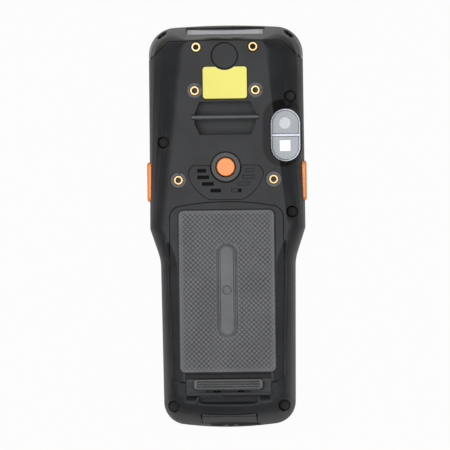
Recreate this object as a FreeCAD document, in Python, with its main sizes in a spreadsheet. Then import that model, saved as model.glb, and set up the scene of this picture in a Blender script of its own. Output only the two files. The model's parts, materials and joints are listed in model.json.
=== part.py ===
import FreeCAD, Part
import math
import os
import Sketcher

# Portable barcode data terminal, lying on its screen, back up.
# Origin: middle of the footprint on the rest plane. +Y points to the scan nose,
# +Z out of the back, +X to the right of someone who looks at the back.

V = FreeCAD.Vector
doc = FreeCAD.newDocument("DataTerminal")
sheet = doc.addObject("Spreadsheet::Sheet", "Sizes")


def number(value):
    return value.value if isinstance(value, Size) else float(value)


def formula(value):
    return value.text if isinstance(value, Size) else "(%.6f)" % value


class Size:
    # A length together with the sheet formula that gives it.
    def __init__(self, value, text):
        self.value = value
        self.text = text

    def __add__(self, other):
        return Size(number(self) + number(other), "(%s + %s)" % (formula(self), formula(other)))

    def __sub__(self, other):
        return Size(number(self) - number(other), "(%s - %s)" % (formula(self), formula(other)))

    def __mul__(self, other):
        return Size(number(self) * number(other), "(%s * %s)" % (formula(self), formula(other)))

    def __truediv__(self, other):
        return Size(number(self) / number(other), "(%s / %s)" % (formula(self), formula(other)))

    def __radd__(self, other):
        return self + other

    def __rmul__(self, other):
        return self * other

    def __rsub__(self, other):
        return Size(number(other) - number(self), "(%s - %s)" % (formula(other), formula(self)))

    def __neg__(self):
        return Size(-number(self), "(0 - %s)" % formula(self))


rows = 0


def size(name, value):
    global rows
    rows += 1
    sheet.set("A%d" % rows, name)
    sheet.set("B%d" % rows, "%g" % value)
    sheet.setAlias("B%d" % rows, name)
    return Size(float(value), "Sizes." + name)


# Overall outline, at the parting plane
body_length = size("body_length", 168)
head_half = size("head_half_width", 32.2)
waist_half = size("waist_half_width", 32.5)
grip_half = size("grip_half_width", 28.25)
tail_half = size("tail_half_width", 27.5)
waist_y = size("waist_y", -0.8)
grip_y = size("grip_y", -13.7)
nose_rake = size("nose_rake", 0.06)
tail_rake = size("tail_rake", 0.12)
nose_sweep = size("nose_sweep", 10)
tail_sweep = size("tail_sweep", 5.2)
head_corner = size("head_corner_radius", 11.5)
waist_corner = size("waist_corner_radius", 3)
grip_blend = size("grip_blend_radius", 20)
tail_round = size("tail_corner_share", 0.345)
nose_y = body_length / 2
tail_y = -body_length / 2

# Depths, from the rim of the screen side to the back
front_depth = size("front_depth", 10)
back_z = size("back_height", 27)
pad_rise = size("pad_rise", 2)
wall = size("wall", 2.2)

# Clearances
seam = size("seam", 0.12)
key_gap = size("key_gap", 0.2)
cover_gap = size("cover_gap", 0.25)
fit = size("fit", 0.03)
run_gap = size("running_gap", 0.3)

# How far each level of the back draws in from the outline
levels = []
for name, height, nose, head, waist, grip, tail, end, corner in (
    ("skirt", 14.5, 1.55, 0.9, 0.15, 0.2, 0.4, 1.35, 11),
    ("flank", 18.5, 3.0, 2.8, 0.6, 0.6, 1.3, 3.1, 10),
    ("haunch", 21.6, 4.15, 6.2, 1.4, 1.4, 2.3, 4.6, 8.5),
    ("shoulder", 24, 5.0, 9.8, 2.6, 2.6, 3.7, 6.3, 6.5),
    ("brow", 25.8, 5.6, 13.1, 4.2, 4.3, 5.6, 8.9, 4.5),
    ("back", 27, 6.0, 15.6, 6.8, 7.4, 9.0, 14.0, 3),
):
    levels.append({
        "z": back_z if name == "back" else size(name + "_height", height),
        "nose": size(name + "_nose_inset", nose),
        "head": size(name + "_head_inset", head),
        "waist": size(name + "_waist_inset", waist),
        "grip": size(name + "_grip_inset", grip),
        "tail": size(name + "_tail_inset", tail),
        "end": size(name + "_end_inset", end),
        "corner": size(name + "_corner_radius", corner),
    })
skirt, flank, haunch, shoulder, brow, back = levels
base_level = {"z": front_depth, "nose": 0, "head": 0, "waist": 0, "grip": 0, "tail": 0, "end": 0,
              "corner": head_corner}

# Nose cap and scan window
cap_line_y = size("cap_line_y", 77.3)
cap_line_half = size("cap_line_half", 23.3)
cap_cheek_y = size("cap_cheek_y", 71.4)
cap_cheek_half = size("cap_cheek_half", 29.8)
cap_end_y = size("cap_end_y", 68.5)
window_width = size("window_width", 31.5)
window_low = size("window_low_z", 12)
window_high = size("window_high_z", 18.6)
window_thick = size("window_thickness", 1.6)
window_recess = size("window_recess", 0.7)
hood_width = size("hood_width", 33)
hood_high = size("hood_high_z", 23.4)
nose_screw_x = size("nose_screw_x", 26.3)
nose_screw_z = size("nose_screw_z", 14)
nose_head_radius = size("nose_screw_head_radius", 1.75)

# Brass inserts, three pairs
insert_radius = size("insert_radius", 1.975)
insert_bore = size("insert_bore_radius", 1.025)
insert_length = size("insert_length", 4)
insert_pairs = []
for name, half, y, sink, bore in (
    ("top", 11.85, 74.8, 0.15, 2.3),
    ("middle", 12.65, 56.7, 1.0, 3.2),
    ("lower", 19.85, 19.5, 1.2, 3.4),
):
    insert_pairs.append({
        "half": size(name + "_insert_half_spacing", half),
        "y": size(name + "_insert_y", y),
        "sink": size(name + "_insert_sink", sink),
        "bore": size(name + "_counterbore_radius", bore),
    })

# Case screws
screw_head_radius = size("screw_head_radius", 1.95)
screw_head_height = size("screw_head_height", 1.6)
screw_shank = size("screw_shank_radius", 1.1)
screw_seat = size("screw_seat_z", 16.4)
screw_tip = size("screw_tip_z", 6.5)
screw_recess = size("screw_recess_radius", 2.35)
screw_boss = size("screw_boss_radius", 3.4)
screw_places = []
for name, x, y in (
    ("left", -26.1, 35.3),
    ("upper_right", 26.9, 54.0),
    ("lower_right", 27.3, 5.9),
    ("tail_left", -23.1, -74.8),
    ("tail_right", 23.1, -74.8),
):
    screw_places.append((size(name + "_screw_x", x), size(name + "_screw_y", y)))

# Things on the upper back
plug_radius = size("plug_radius", 5.4)
plug_y = size("plug_y", 71.1)
label_width = size("label_width", 18.3)
label_height = size("label_height", 13.2)
label_y = size("label_y", 59.9)
label_thick = size("label_thickness", 0.35)
strap_y = size("strap_recess_y", 45.1)
strap_length = size("strap_recess_length", 13.6)
strap_half = size("strap_recess_half_width", 12.7)
strap_end_half = size("strap_recess_end_half", 10.6)
strap_floor = size("strap_recess_floor", 19.6)
strap_bar_radius = size("strap_bar_radius", 1.05)
strap_bar_half = size("strap_bar_half_length", 13.9)
strap_bar_z = back_z - 0.3 - strap_bar_radius
strap_bar_offset = size("strap_bar_offset", 0.5)

# Camera pod
camera_x = size("camera_x", 24.9)
camera_y = size("camera_y", 37.8)
camera_width = size("camera_width", 12.6)
camera_length = size("camera_length", 22.2)
camera_deck = size("camera_deck_z", 21.2)
bezel_thick = size("bezel_thickness", 1.2)
bezel_rim = size("bezel_rim", 0.85)
bezel_bar = size("bezel_bar", 1.3)
pod_wall = size("pod_wall", 0.65)
lens_radius = size("lens_radius", 2.4)
flash_side = size("flash_side", 4.5)

# Speaker panel and rear button
panel_half = size("panel_half_width", 15.4)
panel_foot_half = size("panel_foot_half_width", 6.9)
panel_top_y = size("panel_top_y", 25.4)
panel_thick = size("panel_thickness", 1.5)
slot_height = size("slot_height", 1.4)
button_y = size("button_y", 24.8)
button_radius = size("button_radius", 3.75)
ring_radius = size("ring_radius", 6.3)
button_travel = size("button_travel", 0.8)
speaker_x = size("speaker_x", -8.6)
speaker_y = size("speaker_y", 18.6)
speaker_radius = size("speaker_radius", 5.2)
hollow_low_y = size("hollow_low_y", 13.9)

# Side keys
side_key_y = size("side_key_y", 18.8)
side_key_length = size("side_key_length", 16.6)
side_key_low = size("side_key_low_z", 10.7)
side_key_high = size("side_key_high_z", 16.2)
side_key_proud = size("side_key_proud", 0.8)
side_key_travel = size("side_key_travel", 0.8)

# Battery, its bay and its cover
cover_half = size("cover_half_width", 23.6)
cover_top_y = size("cover_top_y", 10.4)
cover_shoulder_y = size("cover_shoulder_y", 8.6)
cover_end_y = size("cover_end_y", -64.6)
cover_corner = size("cover_corner_radius", 5)
cover_ledge = size("cover_ledge_z", 24.6)
bay_half = size("bay_half_width", 22)
bay_top_y = size("bay_top_y", 7)
bay_end_y = size("bay_end_y", -60.5)
bay_floor = size("bay_floor_z", 11.8)
battery_gap = size("battery_gap", 0.4)
pad_half = size("pad_half_width", 20.4)
pad_top_y = size("pad_top_y", 7.3)
pad_end_y = size("pad_end_y", -61)
pad_bevel = size("pad_bevel", 1.6)
strip_half = size("strip_half_width", 3.8)
strip_top_y = size("strip_top_y", -7.3)
strip_end_y = size("strip_end_y", -45.6)
dimple_y = size("dimple_y", -26.4)

tab_x = size("tab_x", 12)
tab_width = size("tab_width", 6)
tab_reach = size("tab_reach", 1.5)
tab_deep = size("tab_depth", 1.2)
tab_room_below = size("tab_room_below", 1.2)
tab_room_above = size("tab_room_above", 0.8)
contact_half = size("contact_half_width", 6)

# Latch
latch_half = size("latch_half_width", 14.4)
latch_recess_half = size("latch_recess_half", 17.8)
latch_end_y = size("latch_recess_end_y", -70.5)
latch_floor = size("latch_floor_z", 25.1)
latch_lip_y = size("latch_lip_y", -67.6)
latch_travel = size("latch_travel", 2.2)
latch_foot_half = size("latch_foot_half", 9)
latch_foot_depth = size("latch_foot_depth", 3.6)
spring_radius = size("spring_radius", 1.1)
slot_half = size("strap_slot_half", 12.2)
strap_slot = size("strap_slot_width", 2)

# Port at the tail
port_half = size("port_half_width", 11.35)
port_low = size("port_low_z", 14.4)
port_high = size("port_high_z", 22.8)
flap_thick = size("flap_thickness", 1.5)
dock_half = size("dock_half_width", 8.6)
dock_height = size("dock_height", 4.4)

# Screen side
front_panel = size("front_panel_z", 4)
glass_width = size("glass_width", 58)
glass_length = size("glass_length", 76.4)
glass_y = size("glass_y", 39)
glass_sink = size("glass_sink", 0.6)
glass_thick = size("glass_thickness", 1.6)
view_width = size("view_width", 54.4)
view_length = size("view_length", 72.6)
dish_depth = size("dish_depth", 1.3)
dish_half = size("dish_half_width", 24.2)
dish_top_y = size("dish_top_y", -2.6)
dish_end_y = size("dish_end_y", -70)
key_sink = size("key_sink", 0.5)
key_travel = size("key_travel", 0.6)
flange_thick = size("key_flange_thickness", 0.7)
flange_edge = size("key_flange_edge", 0.5)
mat_thick = size("mat_thickness", 0.8)
board_thick = size("board_thickness", 1.2)
display_back = front_panel + 1.8

doc.recompute()


# Helpers: sketches and features

def bind(thing, path, value):
    if isinstance(value, Size):
        thing.setExpression(path, formula(value))
    else:
        setattr(thing, path, value)


def body(label):
    made = doc.addObject("PartDesign::Body", "Body")
    made.Label = label
    return made


def sketch(owner, plane="XY", offset=0):
    made = owner.newObject("Sketcher::SketchObject", "Sketch")
    seat = [f for f in owner.Origin.OriginFeatures if f.Role == plane + "_Plane"][0]
    made.AttachmentSupport = (seat, [""])
    made.MapMode = "FlatFace"
    made.setExpression(".AttachmentOffset.Base.z", formula(offset))
    return made


class Rules:
    # The constraints of one outline, added to its sketch together.
    def __init__(self, drawing):
        self.drawing = drawing
        self.rules = []
        self.formulas = []

    def add(self, *rule):
        self.rules.append(Sketcher.Constraint(*rule))

    def measure(self, kind, geometry, value):
        if isinstance(value, Size):
            self.formulas.append((len(self.rules), formula(value)))
        self.rules.append(Sketcher.Constraint(kind, *geometry, number(value)))

    def point(self, geometry, end, x, y):
        self.measure("DistanceX", (-1, 1, geometry, end), x)
        self.measure("DistanceY", (-1, 1, geometry, end), y)

    def close(self):
        first = self.drawing.ConstraintCount
        self.drawing.addConstraint(self.rules)
        for index, text in self.formulas:
            self.drawing.setExpression("Constraints[%d]" % (first + index), text)


def loop(drawing, path):
    # A closed outline. Each step is x, y and the radius of the edge that follows:
    # 0 for a straight edge, positive to bulge out, negative to bulge in.
    count = len(path)
    edges = []
    for i, (x, y, radius) in enumerate(path):
        here = V(number(x), number(y), 0)
        there = V(number(path[(i + 1) % count][0]), number(path[(i + 1) % count][1]), 0)
        bend = number(radius)
        if bend == 0:
            edges.append((drawing.addGeometry(Part.LineSegment(here, there)), 1, 2))
            continue
        chord = there - here
        side = V(chord.y, -chord.x, 0).normalize() * math.copysign(1, bend)
        sagitta = abs(bend) - math.sqrt(bend ** 2 - chord.Length ** 2 / 4)
        middle = (here + there) * 0.5 + side * sagitta
        if bend > 0:
            edges.append((drawing.addGeometry(Part.Arc(here, middle, there)), 1, 2))
        else:
            edges.append((drawing.addGeometry(Part.Arc(there, middle, here)), 2, 1))
    rules = Rules(drawing)
    for i, (x, y, radius) in enumerate(path):
        edge, start, end = edges[i]
        following, next_start, next_end = edges[(i + 1) % count]
        rules.add("Coincident", edge, end, following, next_start)
        rules.point(edge, start, x, y)
        if number(radius):
            rules.measure("Radius", (edge,), radius if number(radius) > 0 else -radius)
    rules.close()


def rounded(drawing, corners):
    # A closed outline through sharp corners, each x, y and the radius that rounds it.
    count = len(corners)
    tips = [V(number(x), number(y), 0) for x, y, radius in corners]
    arcs = []
    for i, (x, y, radius) in enumerate(corners):
        before = (tips[i - 1] - tips[i]).normalize()
        after = (tips[(i + 1) % count] - tips[i]).normalize()
        half = before.getAngle(after) / 2
        back_off = number(radius) / math.tan(half)
        start = tips[i] + before * back_off
        end = tips[i] + after * back_off
        inward = (before + after).normalize()
        middle = tips[i] + inward * (number(radius) / math.sin(half) - number(radius))
        if before.cross(after).z < 0:
            arcs.append((drawing.addGeometry(Part.Arc(start, middle, end)), 1, 2, start, end))
        else:
            arcs.append((drawing.addGeometry(Part.Arc(end, middle, start)), 2, 1, start, end))
    lines = []
    for i in range(count):
        lines.append(drawing.addGeometry(Part.LineSegment(arcs[i][4], arcs[(i + 1) % count][3])))
    rules = Rules(drawing)
    for i, (x, y, radius) in enumerate(corners):
        arc, start, end, first, last = arcs[i]
        rules.add("Tangent", lines[i - 1], 2, arc, start)
        rules.add("Tangent", arc, end, lines[i], 1)
        rules.measure("Radius", (arc,), radius)
        mark = drawing.addGeometry(Part.Point(tips[i]), True)
        rules.point(mark, 1, x, y)
        rules.add("PointOnObject", mark, 1, lines[i - 1])
        rules.add("PointOnObject", mark, 1, lines[i])
    rules.close()


def rectangle(drawing, x, y, width, height, radius=0):
    right, left = x + width / 2, x - width / 2
    top, low = y + height / 2, y - height / 2
    bend = number(radius)
    spots = [(right, low), (right, top), (left, top), (left, low)]
    tips = [V(number(across), number(along), 0) for across, along in spots]
    lines = []
    for i in range(4):
        way = (tips[(i + 1) % 4] - tips[i]).normalize() * bend
        lines.append(drawing.addGeometry(Part.LineSegment(tips[i] + way, tips[(i + 1) % 4] - way)))
    rules = Rules(drawing)
    for i, line in enumerate(lines):
        rules.add("Vertical" if i % 2 == 0 else "Horizontal", line)
        if bend == 0:
            rules.add("Coincident", line, 2, lines[(i + 1) % 4], 1)
    rules.measure("DistanceX", (-1, 1, lines[0], 1), right)
    rules.measure("DistanceY", (-1, 1, lines[1], 1), top)
    rules.measure("DistanceX", (-1, 1, lines[2], 1), left)
    rules.measure("DistanceY", (-1, 1, lines[3], 1), low)
    if bend:
        arcs = []
        for i in range(4):
            tip = tips[(i + 1) % 4]
            into = (tips[i] - tip).normalize() * bend
            out = (tips[(i + 2) % 4] - tip).normalize() * bend
            middle = tip + (into + out) * (1 - math.sqrt(0.5))
            arcs.append(drawing.addGeometry(Part.Arc(tip + into, middle, tip + out)))
        for i, arc in enumerate(arcs):
            rules.add("Tangent", lines[i], 2, arc, 1)
            rules.add("Tangent", arc, 2, lines[(i + 1) % 4], 1)
            if i:
                rules.add("Equal", arcs[0], arc)
        rules.measure("Radius", (arcs[0],), radius)
    rules.close()


def circle(drawing, x, y, radius):
    made = drawing.addGeometry(Part.Circle(V(number(x), number(y), 0), V(0, 0, 1), number(radius)))
    rules = Rules(drawing)
    rules.point(made, 3, x, y)
    rules.measure("Radius", (made,), radius)
    rules.close()


def feature(kind, drawing, length, flip, both):
    owner = drawing.getParentGeoFeatureGroup()
    made = owner.newObject("PartDesign::" + kind, kind)
    made.Profile = drawing
    made.Refine = False
    bind(made, "Length", length)
    made.Reversed = flip
    if both:
        made.SideType = "Symmetric"
    return made


def pad(drawing, length, flip=False, both=False):
    return feature("Pad", drawing, length, flip, both)


def pocket(drawing, depth, flip=False, both=False):
    # Cuts against the sketch's normal, or along it when flipped.
    return feature("Pocket", drawing, depth, flip, both)


def loft(owner, drawings, ruled=False):
    made = owner.newObject("PartDesign::AdditiveLoft", "Loft")
    made.Profile = drawings[0]
    made.Sections = drawings[1:]
    made.Ruled = ruled
    return made


def edges_at(solid, test):
    names = []
    for i, edge in enumerate(solid.Edges, 1):
        if test(edge):
            names.append("Edge%d" % i)
    return names


def dress(kind, base, test, amount):
    # A chamfer or fillet on the edges of a feature that pass the test.
    owner = base.getParentGeoFeatureGroup()
    doc.recompute(owner.Group)
    made = owner.newObject("PartDesign::" + kind, kind)
    made.Base = (base, edges_at(base.Shape, test))
    bind(made, "Size" if kind == "Chamfer" else "Radius", amount)
    return made


def level_edges(z):
    # Picks edges that lie in one level plane.
    height = number(z)
    return lambda edge: abs(edge.BoundBox.ZMin - height) < 1e-4 and abs(edge.BoundBox.ZMax - height) < 1e-4


def plate(label, x, y, width, height, radius, low, thick):
    owner = body(label)
    drawing = sketch(owner, "XY", low)
    rectangle(drawing, x, y, width, height, radius)
    pad(drawing, thick)
    return owner


def combine(kind, label, base, tool):
    made = doc.addObject("Part::" + kind, kind)
    made.Label = label
    made.Base = base
    made.Tool = tool
    return made


# Housing outline, used at every level and drawn in by the level's insets

def outline(drawing, level, inset=0):
    # Nose and tail are shallow arcs: each rakes back from the middle and is rounded there.
    # The tail corners shrink with the width, so that they always leave room for the arc.
    head = head_half - level["head"] - inset
    waist = waist_half - level["waist"] - inset
    grip = grip_half - level["grip"] - inset
    heel = tail_half - level["tail"] - inset
    nose = nose_y + head * nose_rake * 0.31 - level["nose"] - inset
    tail = tail_y - heel * tail_rake * 0.33 + level["end"] + inset
    right = [
        (heel, tail + heel * tail_rake, (heel + inset) * tail_round - inset),
        (grip, grip_y, grip_blend),
        (waist, waist_y, waist_corner),
        (head, nose - head * nose_rake, level["corner"] - inset),
    ]
    left = [(-x, y, radius) for x, y, radius in reversed(right)]
    rounded(drawing, [(0, tail, heel * tail_sweep)] + right + [(0, nose, head * nose_sweep)] + left)


# The outer form of the back, shared by the rear case, the nose cap and the battery cover
form = body("back_form")
drawings = []
for level in [base_level] + levels:
    drawing = sketch(form, "XY", level["z"])
    outline(drawing, level)
    drawings.append(drawing)
loft(form, drawings, True)


# Rear case

nodes = []


def node(thing, label=None):
    if label:
        thing.Label = label
    nodes.append(thing)
    return thing


def smile(drawing, gap):
    # Speaker panel: flat top on each side of the button ring, sides that curve in to the cover.
    top, half, foot = panel_top_y + gap, panel_half + gap, panel_foot_half + gap
    shoulder = top - 4.6
    low = cover_top_y + 0.9 - gap
    notch = ring_radius + seam * 2 - gap
    loop(drawing, [
        (foot, low, 16), (half, shoulder, 4), (half - 2, top, 0), (notch * 0.995, top, -notch),
        (0, button_y - notch, -notch), (-notch * 0.995, top, 0), (2 - half, top, 4),
        (-half, shoulder, 16), (-foot, low, 0),
    ])


def pill(drawing, x, y, width, length):
    half = width / 2
    rise = length / 2 - half
    loop(drawing, [
        (x + half, y - rise, 0), (x + half, y + rise, half), (x, y + rise + half, half),
        (x - half, y + rise, 0), (x - half, y - rise, half), (x, y - rise - half, half),
    ])


def cover_outline(drawing, gap):
    half, top, low = cover_half + gap, cover_shoulder_y + gap, cover_end_y - gap
    corner = cover_corner + gap
    loop(drawing, [
        (half, low + corner, 0), (half, top - corner, corner), (half - corner, top, 106),
        (corner - half, top, corner), (-half, top - corner, 0), (-half, low + corner, corner),
        (corner - half, low, 0), (half - corner, low, corner),
    ])


def strap_outline(drawing, gap):
    half, end = strap_half + gap, strap_end_half + gap
    rise = strap_length / 2 + gap
    waist = rise * 0.3
    loop(drawing, [
        (half, strap_y - waist, 0), (half, strap_y + waist, 0), (end, strap_y + rise, 0),
        (-end, strap_y + rise, 0), (-half, strap_y + waist, 0), (-half, strap_y - waist, 0),
        (-end, strap_y - rise, 0), (end, strap_y - rise, 0),
    ])


rear = body("rear_shell")
rear.BaseFeature = form
pod = sketch(rear, "XY", front_depth)
pill(pod, camera_x, camera_y, camera_width + pod_wall * 2, camera_length + pod_wall * 2)
pad(pod, camera_deck + bezel_thick - front_depth)

cap_split = sketch(rear, "XY", front_depth)
far = waist_half * 1.5
loop(cap_split, [
    (far, cap_end_y, 0), (far, nose_y * 1.2, 0), (-far, nose_y * 1.2, 0), (-far, cap_end_y, 0),
    (-waist_half, cap_end_y, 0), (-cap_cheek_half, cap_cheek_y, 0), (-cap_line_half, cap_line_y, 0),
    (cap_line_half, cap_line_y, 0), (cap_cheek_half, cap_cheek_y, 0), (waist_half, cap_end_y, 0),
])
pocket(cap_split, back_z, True)

cover_seat = sketch(rear, "XY", cover_ledge)
cover_outline(cover_seat, cover_gap)
pocket(cover_seat, back_z - cover_ledge + 1, True)

bay = sketch(rear, "XY", bay_floor)
bay_length = bay_top_y - bay_end_y
bay_y = (bay_top_y + bay_end_y) / 2
rectangle(bay, 0, bay_y, bay_half * 2, bay_length, 2)
pocket(bay, back_z - bay_floor, True)

latch_recess = sketch(rear, "XY", latch_floor)
latch_height = cover_end_y - cover_gap - latch_end_y
rectangle(latch_recess, 0, latch_end_y + latch_height / 2 + 0.5, latch_recess_half * 2,
          latch_height + 1, 0)
pocket(latch_recess, back_z - latch_floor + 1, True)

latch_well = sketch(rear, "XY", latch_floor - latch_foot_depth - run_gap)
well_top = latch_lip_y + 2.9
rectangle(latch_well, 0, (well_top + latch_end_y) / 2, (latch_foot_half + run_gap) * 2,
          well_top - latch_end_y)
pocket(latch_well, back_z - latch_floor + latch_foot_depth, True)

strap_end_slot = sketch(rear, "XY", back_z - 5.5)
rectangle(strap_end_slot, 0, latch_end_y - 0.7 - strap_slot / 2, slot_half * 2, strap_slot)
pocket(strap_end_slot, 8, True)

speaker_seat = sketch(rear, "XY", back_z - panel_thick)
smile(speaker_seat, seam)
pocket(speaker_seat, panel_thick + 1, True)

ring_seat = sketch(rear, "XY", back_z - panel_thick - 0.3)
circle(ring_seat, 0, button_y, ring_radius + seam)
pocket(ring_seat, panel_thick + 2, True)

roof_holes = sketch(rear, "XY", back_z - wall * 2)
circle(roof_holes, 0, button_y, button_radius + 1.3)
circle(roof_holes, speaker_x, speaker_y, speaker_radius - 1.8)
pocket(roof_holes, wall * 2, True)

label_seat = sketch(rear, "XY", back_z - label_thick - 0.2)
rectangle(label_seat, 0, label_y, label_width + 0.5, label_height + 0.5, 1.3)
pocket(label_seat, label_thick + 1, True)

plug_seat = sketch(rear, "XY", back_z - 1.6)
circle(plug_seat, 0, plug_y, plug_radius + seam * 2)
pocket(plug_seat, 3, True)

strap_seat = sketch(rear, "XY", strap_floor)
strap_outline(strap_seat, 0)
pocket(strap_seat, back_z - strap_floor + 1, True)

bar_seat = sketch(rear, "XY", strap_bar_z - strap_bar_radius)
rectangle(bar_seat, 0, strap_y + strap_bar_offset, (strap_bar_half + fit) * 2, (strap_bar_radius + fit) * 2)
pocket(bar_seat, 5, True)

for pair in insert_pairs:
    counterbore = sketch(rear, "XY", back_z - pair["sink"])
    hole = sketch(rear, "XY", back_z - pair["sink"] - insert_length - fit)
    for side in (-1, 1):
        circle(counterbore, pair["half"] * side, pair["y"], pair["bore"])
        circle(hole, pair["half"] * side, pair["y"], insert_radius + fit)
    pocket(counterbore, 3, True)
    pocket(hole, insert_length + 3, True)

screw_recesses = sketch(rear, "XY", screw_seat)
screw_holes = sketch(rear, "XY", front_depth)
for x, y in screw_places:
    circle(screw_recesses, x, y, screw_recess)
    circle(screw_holes, x, y, screw_shank + 0.1)
pocket(screw_recesses, back_z - screw_seat + 1, True)
pocket(screw_holes, screw_seat - front_depth + 1, True)

camera_seat = sketch(rear, "XY", camera_deck)
pill(camera_seat, camera_x, camera_y, camera_width + 0.1, camera_length + 0.1)
pocket(camera_seat, back_z - camera_deck + 1, True)
camera_well = sketch(rear, "XY", front_depth)
lens_y = camera_y + 5.0
flash_y = camera_y - 4.4
circle(camera_well, camera_x - 0.2, lens_y, lens_radius + 0.6)
rectangle(camera_well, camera_x - 0.2, flash_y, flash_side + 0.4, flash_side + 0.4)
pocket(camera_well, camera_deck, True)

aperture = sketch(rear, "XZ", -(cap_line_y + 1))
rectangle(aperture, 0, (window_low + window_high) / 2 + 0.8, window_width - 3,
          window_high - window_low - 1)
pocket(aperture, 8, True)

nose_holes = sketch(rear, "XZ", -(cap_line_y + 1))
for side in (-1, 1):
    circle(nose_holes, nose_screw_x * side, nose_screw_z, 1.0)
pocket(nose_holes, 9, True)

port_seat = sketch(rear, "YZ", 0)
tail_slope = flank["end"] / (flank["z"] - front_depth)


def tail_face(z, sink):
    return tail_y + tail_slope * (z - front_depth) + sink


loop(port_seat, [
    (tail_face(port_low, flap_thick + cover_gap), port_low, 0),
    (tail_face(port_high, flap_thick + cover_gap), port_high, 0),
    (tail_y - 1, port_high, 0), (tail_y - 1, port_low, 0),
])
pocket(port_seat, (port_half + seam * 2) * 2, False, True)
dock_z = (port_low + port_high) / 2
dock_hole = sketch(rear, "XZ", -tail_y)
rectangle(dock_hole, 0, dock_z, dock_half * 2 + 0.2, dock_height + 0.2)
pocket(dock_hole, 12)

tab_seats = sketch(rear, "XY", cover_ledge - tab_deep - tab_room_below)
contact_seat = sketch(rear, "XY", bay_floor + 1.1)
for side in (-1, 1):
    rectangle(tab_seats, tab_x * side, bay_top_y + 2.2, tab_width + 0.8, 6.4)
pocket(tab_seats, tab_deep + tab_room_below + tab_room_above, True)
rectangle(contact_seat, 0, bay_top_y + 1, contact_half * 2 + 0.1, 3.1)
pocket(contact_seat, 4.2, True)

# The hollow of the head, less the bosses that stand in it
hollow = body("head_hollow")
hollow_levels = []
for z, level in (
    (front_depth - 1, base_level),
    (flank["z"], flank),
    (shoulder["z"] - 0.6, shoulder),
    (back_z - wall - 0.2, brow),
):
    drawing = sketch(hollow, "XY", z)
    low_half = waist_half - level["waist"] - wall
    high_half = head_half - level["head"] - wall * 1.2
    loop(drawing, [
        (low_half - 0.6, hollow_low_y, 0), (high_half, cap_cheek_y - 5, 0),
        (high_half - 6, cap_line_y - wall, 0), (6 - high_half, cap_line_y - wall, 0),
        (-high_half, cap_cheek_y - 5, 0), (0.6 - low_half, hollow_low_y, 0),
    ])
    hollow_levels.append(drawing)
loft(hollow, hollow_levels, True)

bosses = body("bosses")
screw_bosses = sketch(bosses, "XY", front_depth)
for x, y in screw_places:
    circle(screw_bosses, x, y, screw_boss)
pad(screw_bosses, back_z - front_depth)
insert_bosses = sketch(bosses, "XY", back_z - insert_length - 2.4)
for pair in insert_pairs:
    for side in (-1, 1):
        circle(insert_bosses, pair["half"] * side, pair["y"], pair["bore"] + 1.1)
pad(insert_bosses, insert_length + 2.4)
tub = sketch(bosses, "XY", strap_floor - 1.3)
strap_outline(tub, 1.6)
pad(tub, back_z - strap_floor + 1.3)
nose_bosses = sketch(bosses, "XZ", -cap_line_y)
for side in (-1, 1):
    circle(nose_bosses, nose_screw_x * side, nose_screw_z, 2.6)
pad(nose_bosses, 7)
hollow_space = combine("Cut", "hollow_space", hollow, bosses)

key_room = body("side_key_room")
room = sketch(key_room, "XY", front_depth - 1)
rectangle(room, 0, side_key_y, (waist_half - 1.7) * 2, side_key_length + 2.4)
pad(room, side_key_high + 1 - front_depth + 1)
slots = sketch(key_room, "XY", side_key_low - key_gap)
rectangle(slots, 0, side_key_y, waist_half * 2.4, side_key_length + key_gap * 2)
pad(slots, side_key_high - side_key_low + key_gap * 2)
bay_block = sketch(key_room, "XY", front_depth - 1)
rectangle(bay_block, 0, side_key_y, 50, side_key_length + 8)
pocket(bay_block, 20, True)

rear_hollowed = combine("Cut", "rear_hollowed", rear, hollow_space)
rear_case = node(combine("Cut", "rear_case", rear_hollowed, key_room))


# Nose cap, its window and its screws

nose_slope = flank["nose"] / (flank["z"] - front_depth)


def face_y(z, sink):
    return nose_y - sink - nose_slope * (z - front_depth)


cap = node(body("nose_cap"))
cap.BaseFeature = form
cap_back = sketch(cap, "XY", front_depth)
loop(cap_back, [
    (-far, tail_y * 1.2, 0), (far, tail_y * 1.2, 0), (far, cap_end_y + seam, 0),
    (waist_half + seam, cap_end_y + seam, 0), (cap_cheek_half + seam, cap_cheek_y + seam, 0),
    (cap_line_half + seam, cap_line_y + seam, 0), (-cap_line_half - seam, cap_line_y + seam, 0),
    (-cap_cheek_half - seam, cap_cheek_y + seam, 0), (-waist_half - seam, cap_end_y + seam, 0),
    (-far, cap_end_y + seam, 0),
])
pocket(cap_back, back_z, True)
hood = sketch(cap, "YZ")
hood_low = window_low - 0.5
loop(hood, [
    (face_y(hood_low, window_recess), hood_low, 0), (nose_y + 1, hood_low, 0),
    (nose_y + 1, hood_high, 0), (face_y(hood_high, window_recess), hood_high, 0),
])
pocket(hood, hood_width, False, True)
sight = sketch(cap, "YZ")
window_edge = 0.1
loop(sight, [
    (cap_line_y - 1, window_low - window_edge, 0), (nose_y + 1, window_low - window_edge, 0),
    (nose_y + 1, window_high + window_edge, 0), (cap_line_y - 1, window_high + window_edge, 0),
])
pocket(sight, window_width + window_edge * 2, False, True)
nose_seat_y = cap_line_y - 0.5
screw_sockets = sketch(cap, "XZ", -(nose_y + 1))
screw_ways = sketch(cap, "XZ", -(nose_y + 1))
for side in (-1, 1):
    circle(screw_sockets, nose_screw_x * side, nose_screw_z, nose_head_radius + 0.2)
    circle(screw_ways, nose_screw_x * side, nose_screw_z, 1.0)
pocket(screw_sockets, nose_y + 1 - nose_seat_y, True)
pocket(screw_ways, 20, True)

window = node(body("scan_window"))
pane = sketch(window, "YZ")
pane_front = window_recess + 0.1
pane_back = pane_front + window_thick
loop(pane, [
    (face_y(window_low, pane_back), window_low, 0), (face_y(window_low, pane_front), window_low, 0),
    (face_y(window_high, pane_front), window_high, 0), (face_y(window_high, pane_back), window_high, 0),
])
pad(pane, window_width, False, True)

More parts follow.
